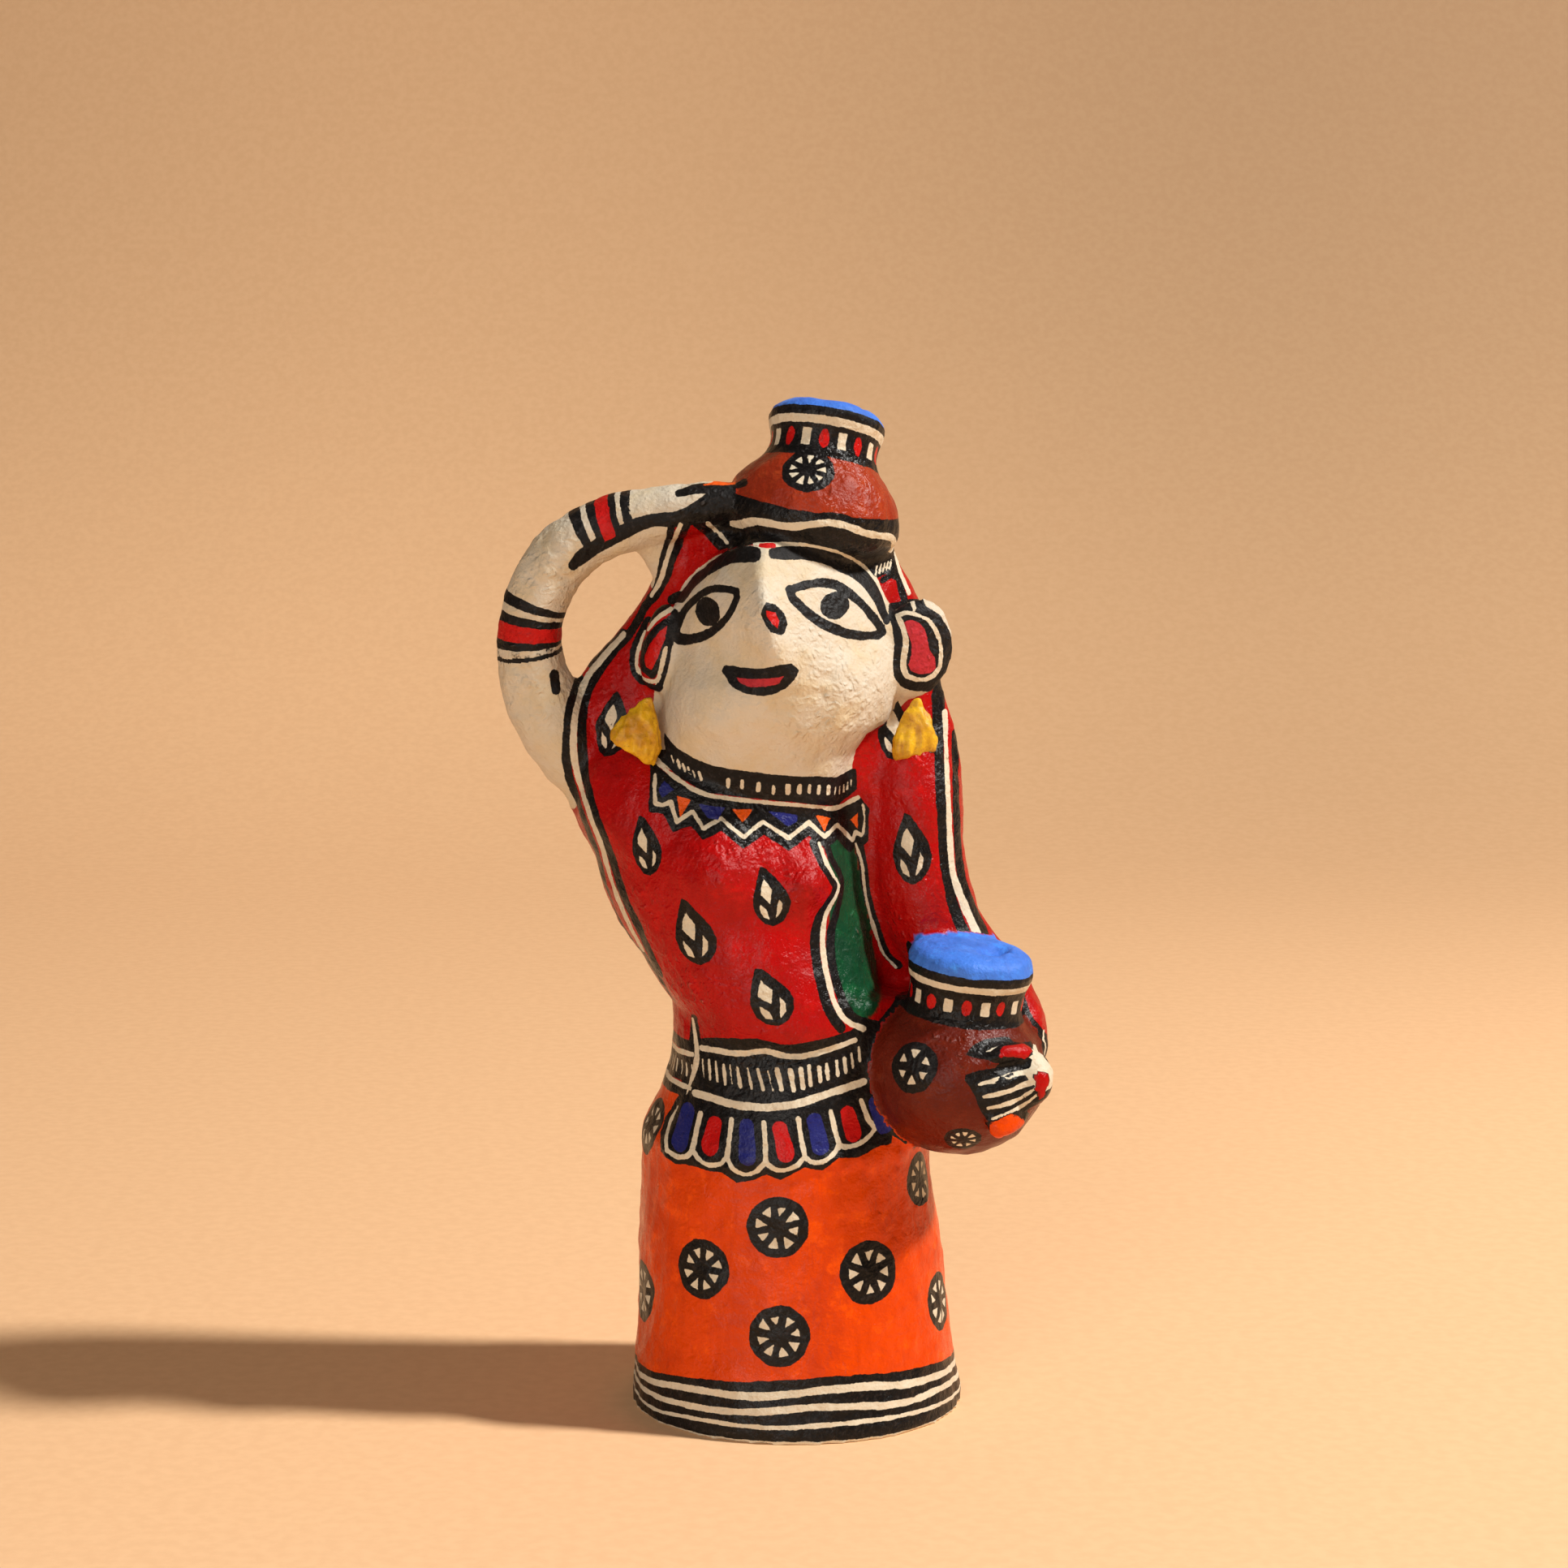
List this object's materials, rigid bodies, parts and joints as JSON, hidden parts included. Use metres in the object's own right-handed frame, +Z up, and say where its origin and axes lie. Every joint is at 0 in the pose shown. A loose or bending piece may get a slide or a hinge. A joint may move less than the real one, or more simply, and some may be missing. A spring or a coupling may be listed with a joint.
{
  "type": "papier-mache figure",
  "caption": "Painted papier-mache figure of a veiled woman in a long skirt, one pot on her head steadied by a raised arm and one on her hip, with drop earrings.",
  "frame": {"origin": "centre of the round base, on the surface the figure stands on", "axes": "+Z up through the head pot; the face looks along -Y; the raised arm is on the -X side"},
  "size_m": [0.1193, 0.0748, 0.2202],
  "materials": {
    "painted_paper": "varnished paint",
    "yellow_paper": "satin paint"
  },
  "bodies": {
    "root": {"figure": "painted_paper", "earring_left": "yellow_paper", "earring_right": "yellow_paper"}
  },
  "joints": []
}
